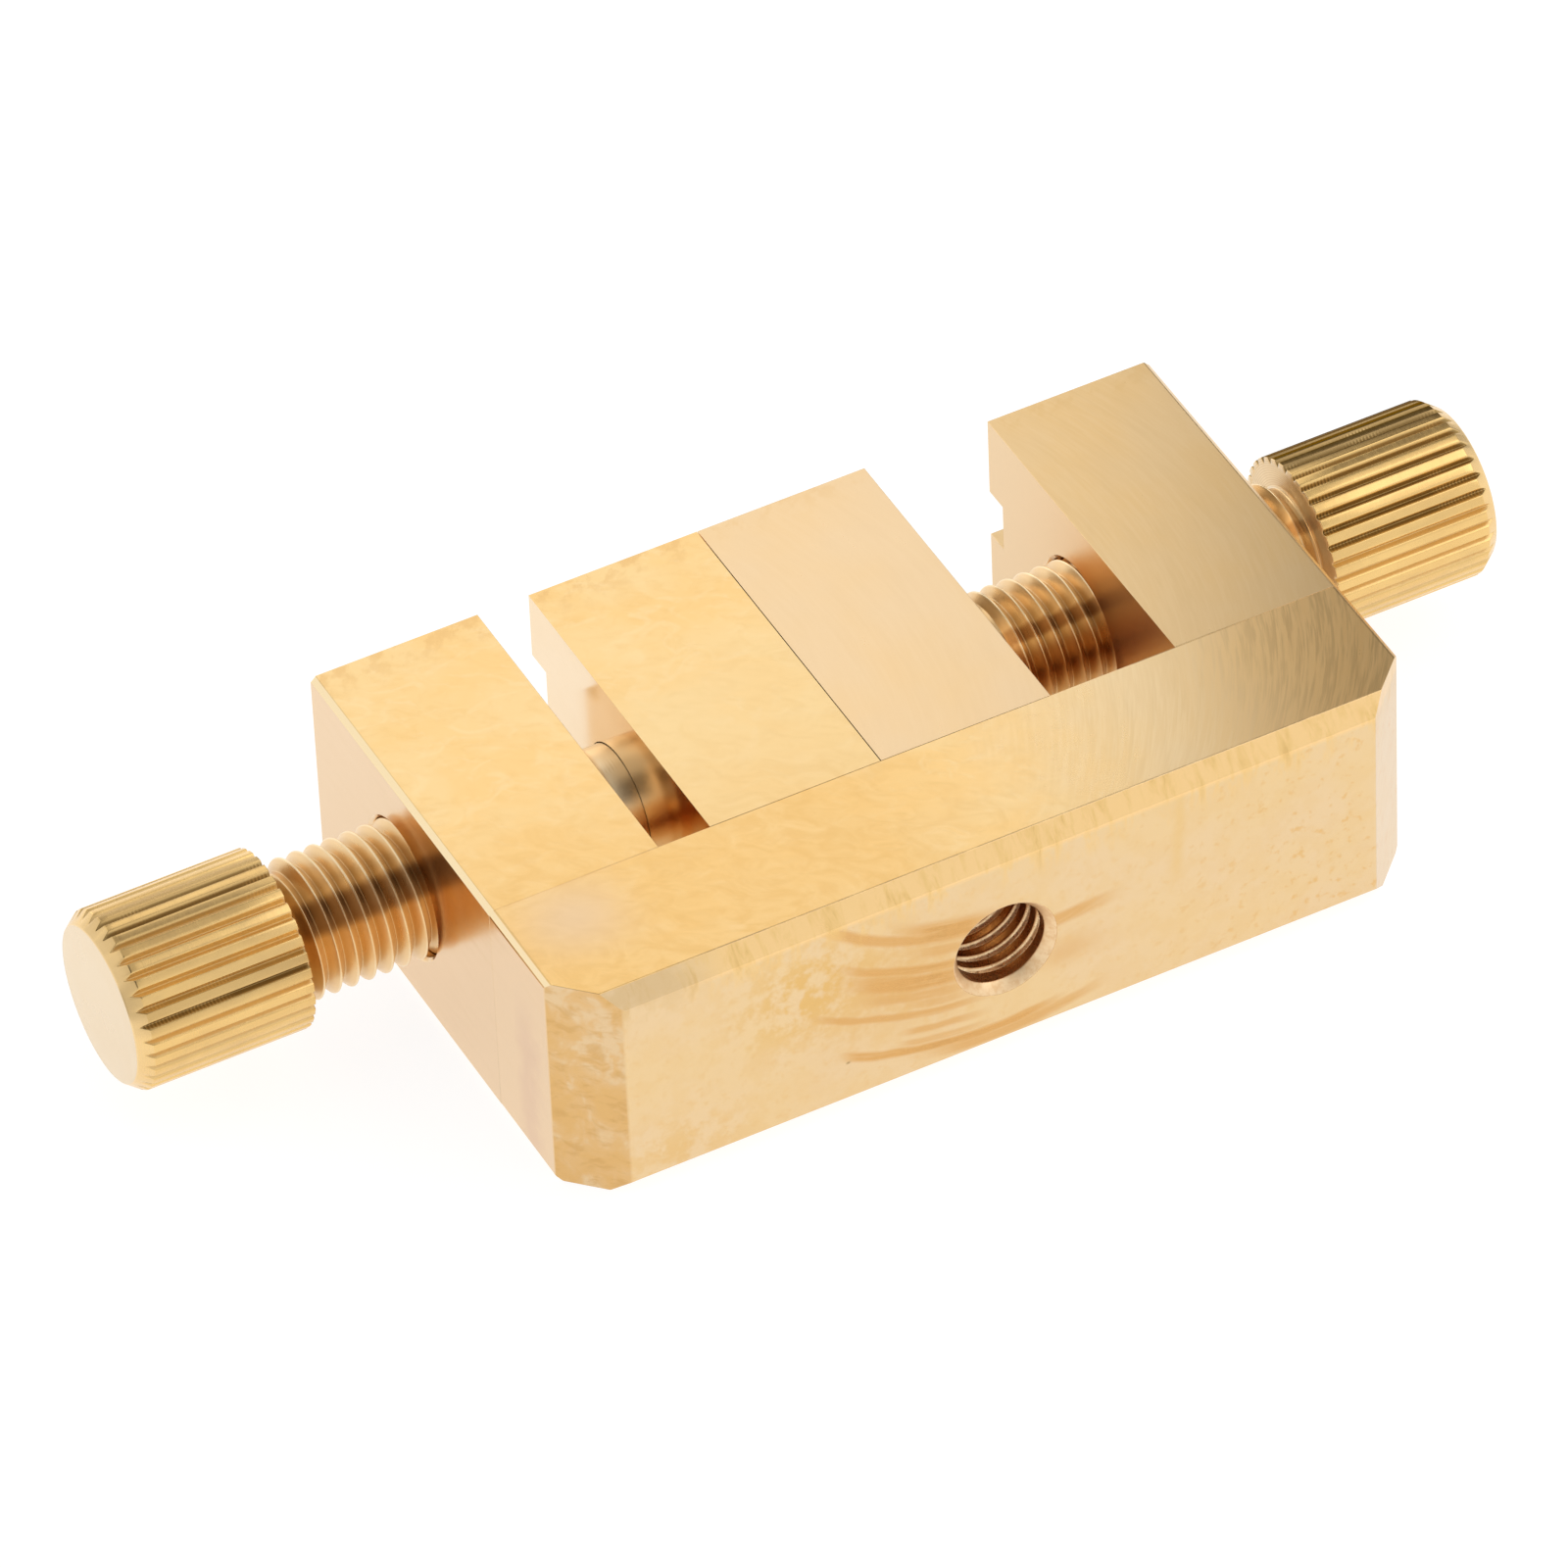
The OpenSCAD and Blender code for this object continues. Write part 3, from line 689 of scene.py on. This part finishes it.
class Mesh:
    """A closed surface built from rings of points round the X axis, in millimetres."""

    def __init__(self):
        self.v = []
        self.f = []
        self.same = {}

    def ring(self, r, s, angles):
        start = len(self.v)
        for a, ri, si in zip(angles, np.broadcast_to(r, len(angles)), np.broadcast_to(s, len(angles))):
            self.v.append((float(si), float(ri * math.cos(a)), float(ri * math.sin(a))))
        return list(range(start, start + len(angles)))

    def bridge(self, a, b):
        n = len(a)
        for i in range(n):
            j = (i + 1) % n
            self.f.append((a[i], b[i], b[j], a[j]))

    def chain(self, rings):
        for a, b in zip(rings, rings[1:]):
            self.bridge(a, b)

    def stitch(self, a, aa, b, ab):
        """Joins two rings that have different angles; both start at angle 0."""
        aa, ab = list(aa) + [2 * math.pi], list(ab) + [2 * math.pi]
        na, nb = len(a), len(b)
        i = j = 0
        while i < na or j < nb:
            if j >= nb or (i < na and aa[i + 1] <= ab[j + 1]):
                self.f.append((a[i % na], b[j % nb], a[(i + 1) % na]))
                i += 1
            else:
                self.f.append((a[i % na], b[j % nb], b[(j + 1) % nb]))
                j += 1

    def thread(self, ring_in, ring_out, r0, r1, s0, turns, pitch, prof, n, fade, r_end=None):
        """Right-hand helix of the profile [(u, h)] between two rings of n points on radius r0.
        Its first point lies at s0, angle 0. h runs from 0 on r0 to 1 on r1. The root rises to r_end in the last turn."""
        m, total = len(prof), turns * n
        r_end = r0 if r_end is None else r_end

        def root_at(c):
            q = min(1.0, max(0.0, c / n - (turns - 1)))
            return r0 + (r_end - r0) * q * q * (3 - 2 * q)

        cols = []
        for c in range(total + 1):
            a = 2 * math.pi * c / n
            k = 1.0
            for far in (c / n, turns - c / n):
                q = min(1.0, max(0.0, far / fade))
                k *= q * q * (3 - 2 * q)
            col = []
            for u, h in prof:
                base = root_at(c + u * n)
                r = base + (r1 - base) * h * k
                col.append(len(self.v))
                self.v.append((s0 + pitch * (c / n + u), r * math.cos(a), r * math.sin(a)))
            cols.append(col)
        last = []  # root line after the final turn
        for c in range(n + 1):
            a = 2 * math.pi * c / n
            last.append(len(self.v))
            self.v.append((s0 + pitch * (turns + c / n), r_end * math.cos(a), r_end * math.sin(a)))
        self.same[last[0]] = cols[total][0]

        def nxt(c):
            return cols[c + n][0] if c + n <= total else last[c + n - total]

        for c in range(total):
            p, q = cols[c] + [nxt(c)], cols[c + 1] + [nxt(c + 1)]
            for i in range(m):
                self.f.append((p[i], p[i + 1], q[i + 1], q[i]))
        for c in range(n - 1):
            self.f.append((ring_in[c], cols[c][0], cols[c + 1][0], ring_in[c + 1]))
        self.f.append((ring_in[n - 1], cols[n - 1][0], *reversed(cols[0] + [cols[n][0]]), ring_in[0]))
        for c in range(1, n):
            self.f.append((last[c], ring_out[c], ring_out[(c + 1) % n], last[c + 1]))
        self.f.append((*cols[total], last[n], ring_out[0], ring_out[1], last[1]))

    def build(self, name):
        used = sorted({self.same.get(i, i) for f in self.f for i in f})
        index = {old: new for new, old in enumerate(used)}
        faces = []
        for f in self.f:
            g = []
            for i in f:
                i = index[self.same.get(i, i)]
                if i not in g:
                    g.append(i)
            faces.append(g)
        me = bpy.data.meshes.new(name)
        me.from_pydata([tuple(x * MM for x in self.v[i]) for i in used], [], faces)
        bm = bmesh.new()
        bm.from_mesh(me)
        bmesh.ops.recalc_face_normals(bm, faces=bm.faces)
        open_edges = sum(1 for e in bm.edges if len(e.link_faces) != 2)
        if open_edges:
            print(name, "has", open_edges, "open edges")
        bm.to_mesh(me)
        bm.free()
        me.shade_smooth()
        me.update()
        return me


def around(n):
    return np.arange(n) * 2 * math.pi / n


def thumbscrew_mesh():
    kn, knob_r, knob_l, face_r = 34, 5.0, 10.0, 4.4
    period = [(0.0, 0.330), (0.035, 0.305), (0.130, 0.160), (0.215, 0.028), (0.240, 0.008), (0.270, 0.0), (0.385, 0.0),
              (0.5, 0.0), (0.615, 0.0), (0.730, 0.0), (0.760, 0.008), (0.785, 0.028), (0.870, 0.160), (0.965, 0.305)]
    ang = np.array([2 * math.pi * (i + u) / kn for i in range(kn) for u, _ in period])
    rk = np.array([knob_r - d for _ in range(kn) for _, d in period])
    m = Mesh()
    few = around(48)
    cap = m.ring(2.2, 0.0, few)
    m.f.append(tuple(cap))
    sc = (rk - face_r) / 0.6 * 0.8
    rings = [m.ring(face_r - 0.12, 0.0, ang), m.ring(face_r - 0.03, 0.006, ang), m.ring(face_r + 0.012, 0.035, ang),
             m.ring(face_r + 0.04, 0.075, ang),
             m.ring(rk - 0.036, sc - 0.042, ang), m.ring(rk - 0.010, sc + 0.004, ang), m.ring(rk, sc + 0.05, ang),
             m.ring(rk, sc + 0.5, ang), m.ring(rk, 3.0, ang), m.ring(rk, 5.2, ang), m.ring(rk, 7.4, ang),
             m.ring(rk, knob_l - 0.05, ang), m.ring(rk - 0.008, knob_l - 0.012, ang), m.ring(rk - 0.035, knob_l, ang)]
    # inner face: fine concentric turning grooves
    r, k = 4.60, 0
    while r > 3.46:
        rings.append(m.ring(r, knob_l - (0.022 if k % 2 else 0.0), ang))
        r -= 0.066
        k += 1
    m.chain(rings)
    m.stitch(cap, few, rings[0], ang)
    # threaded shank
    root, crest, ns = 3.25, 3.85, 80
    sa = around(ns)
    inner = m.ring(3.40, knob_l, sa)
    m.stitch(rings[-1], ang, inner, sa)
    collar = [inner, m.ring(3.30, knob_l + 0.03, sa), m.ring(root, knob_l + 0.10, sa)]
    m.chain(collar)
    prof = [(0.0, 0.0), (0.02, 0.015), (0.06, 0.09), (0.14, 0.26), (0.24, 0.48), (0.34, 0.70), (0.41, 0.86), (0.45, 0.95), (0.48, 0.99),
            (0.52, 0.99), (0.55, 0.95), (0.59, 0.86), (0.66, 0.70), (0.76, 0.48), (0.86, 0.26), (0.94, 0.09), (0.98, 0.015)]
    out = m.ring(3.43, knob_l + 19.15, sa)
    m.thread(collar[-1], out, root, crest, knob_l + 0.11, 18, 1.0, prof, ns, 0.35, 3.42)
    # smooth pilot, neck and button
    pilot, tail = 3.44, [out]
    for r, s in ((pilot, 19.25), (pilot, 22.08), (pilot - 0.02, 22.13), (pilot - 0.07, 22.15), (2.47, 22.15),
                 (2.42, 22.17), (2.4, 22.22), (2.4, 24.28), (2.42, 24.33), (2.47, 24.35), (pilot - 0.07, 24.35), (pilot - 0.02, 24.37),
                 (pilot, 24.42), (pilot, 26.00), (pilot - 0.02, 26.06), (pilot - 0.27, 26.32), (pilot - 0.34, 26.35)):
        tail.append(m.ring(r, knob_l + s, sa))
    m.chain(tail)
    m.f.append(tuple(tail[-1]))
    return m.build("thumbscrew")


screw_mesh = thumbscrew_mesh()
for side, x, turn_z, turn_x in (("left", -40.35, 0.0, 0.35), ("right", 40.35, math.pi, -0.12)):
    me = screw_mesh if side == "left" else screw_mesh.copy()
    me.materials.clear()
    if side == "left":
        me.materials.append(turned_material("turned_brass_left", "left", (0.60, 0.385, 0.150), 0.28))
    else:
        # the right knob's inner face is near white: painted light, standing in for the bright reflection it shows
        me.materials.append(turned_material("turned_brass_right", "right", (1.0, 0.915, 0.745), 0.40))
    o = bpy.data.objects.new(side + "_thumbscrew_turned", me)
    scene.collection.objects.link(o)
    o.matrix_world = Matrix.Translation((x * MM, 4.9 * MM, 7.0 * MM)) @ Matrix.Rotation(turn_z, 4, "Z") @ Matrix.Rotation(turn_x, 4, "X")
    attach(o, side + "_screw")
    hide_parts(side + "_thumbscrew")


def tapped_hole():
    """Thread of the front hole: a thin sleeve that lines the drilled wall. Axis along the object's X, mouth at 0."""
    n, minor, major = 80, 2.56, 2.90
    m = Mesh()
    sa = around(n)
    wall_front = m.ring(3.03, 0.10, sa)
    rings = [wall_front, m.ring(3.045, 0.012, sa), m.ring(3.02, 0.014, sa), m.ring(2.99, 0.03, sa),
             m.ring(minor + 0.05, 0.52, sa), m.ring(minor + 0.015, 0.56, sa), m.ring(minor, 0.60, sa)]
    m.chain(rings)
    prof = [(0.0, 0.0), (0.10, 0.0), (0.20, 0.0), (0.27, 0.02), (0.31, 0.10), (0.39, 0.52), (0.46, 0.86), (0.50, 0.96), (0.54, 0.96), (0.58, 0.86),
            (0.65, 0.52), (0.73, 0.10), (0.77, 0.02), (0.86, 0.0), (0.93, 0.0)]
    end = m.ring(minor, 5.93, sa)
    m.thread(rings[-1], end, minor, major, 0.62, 4, 1.0, prof, n, 0.2)
    back = m.ring(3.03, 5.93, sa)
    m.chain([end, back, wall_front])
    me = m.build("tapped_hole")
    o = bpy.data.objects.new("front_hole_thread", me)
    scene.collection.objects.link(o)
    # the mouth faces -Y, and the object's X points into the rail
    o.matrix_world = Matrix.Translation((2.2 * MM, -14.8 * MM, 7.0 * MM)) @ Matrix.Rotation(math.pi / 2, 4, "Z") @ Matrix.Rotation(2.2, 4, "X")
    me.materials.append(hole_material())
    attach(o, "base")


tapped_hole()

# ---------------------------------------------------------------------------
# floor, light
# ---------------------------------------------------------------------------


def make_floor():
    me = bpy.data.meshes.new("floor")
    s = 3.0
    me.from_pydata([(-s, -s, 0), (s, -s, 0), (s, s, 0), (-s, s, 0)], [], [(0, 1, 2, 3)])
    o = bpy.data.objects.new("floor", me)
    scene.collection.objects.link(o)
    mat, t, bsdf = new_material("lit_paper", 0.0)
    tc = t.node("ShaderNodeTexCoord")
    paper = t.noise(tc.outputs["Object"], 40.0, 3.0, 0.6)
    t.put(bsdf.inputs["Base Color"], t.mix(paper, (0.31, 0.31, 0.31), (0.29, 0.29, 0.29)))
    bsdf.inputs["Roughness"].default_value = 0.9
    bsdf.inputs["Specular IOR Level"].default_value = 0.1
    bsdf.inputs["Emission Color"].default_value = (1.0, 1.0, 1.0, 1.0)
    bsdf.inputs["Emission Strength"].default_value = 0.84
    me.materials.append(mat)


make_floor()


def panel(name, centre, target, width, height, radiance, colour=(1, 1, 1)):
    """A soft rectangular light in millimetres, aimed at target."""
    data = bpy.data.lights.new(name, "AREA")
    data.shape = "RECTANGLE"
    data.size, data.size_y = width * MM, height * MM
    data.energy = radiance * math.pi * data.size * data.size_y
    data.color = colour
    o = bpy.data.objects.new(name, data)
    scene.collection.objects.link(o)
    c, g = Vector(centre) * MM, Vector(target) * MM
    o.matrix_world = Matrix.Translation(c) @ (g - c).to_track_quat("-Z", "Y").to_matrix().to_4x4()
    o.visible_camera = False
    return o


panel("rear_softbox", (29.4, 95.6, 106.0), (-14.2, 6.95, 14.0), 88.5, 90, 0.94)
panel("rear_low", (-10, 130, 32), (-10, 0, 12), 100, 60, 0.60)
panel("right_softbox", (250, -90, 300), (10, 0, 7), 260, 360, 0.95)


def make_world():
    world = bpy.data.worlds.new("studio")
    scene.world = world
    world.use_nodes = True
    world.node_tree.nodes.clear()
    t = Tree(world.node_tree)
    bg = t.node("ShaderNodeBackground")
    out = t.node("ShaderNodeOutputWorld")
    t.t.links.new(bg.outputs[0], out.inputs[0])
    tc = t.node("ShaderNodeTexCoord")
    d = t.split(tc.outputs["Generated"])
    # light all round, a paler grey overhead, a dark rear right and a dark patch about the camera
    sky = t.mix(t.step(d[2], 0.68, 0.88), (0.95, 0.95, 0.95), (0.60, 0.59, 0.57))
    rear_right = t.mul(t.step(d[1], 0.15, 0.55), t.step(d[0], -0.12, 0.22))
    sky = t.mix(rear_right, sky, t.mix(t.step(d[2], 0.38, 0.66), (0.29, 0.275, 0.25), (0.20, 0.19, 0.18)))
    toward = t.add(t.mul(d[0], -0.40), t.add(t.mul(d[1], -0.40), t.mul(d[2], 0.825)))
    sky = t.mix(t.step(toward, math.cos(math.radians(29)), math.cos(math.radians(14))), sky, (0.12, 0.11, 0.10))
    t.put(bg.inputs["Color"], sky)
    bg.inputs["Strength"].default_value = 1.0


make_world()
scene.view_settings.view_transform = "Standard"
scene.cycles.max_bounces = 16
scene.cycles.glossy_bounces = 16
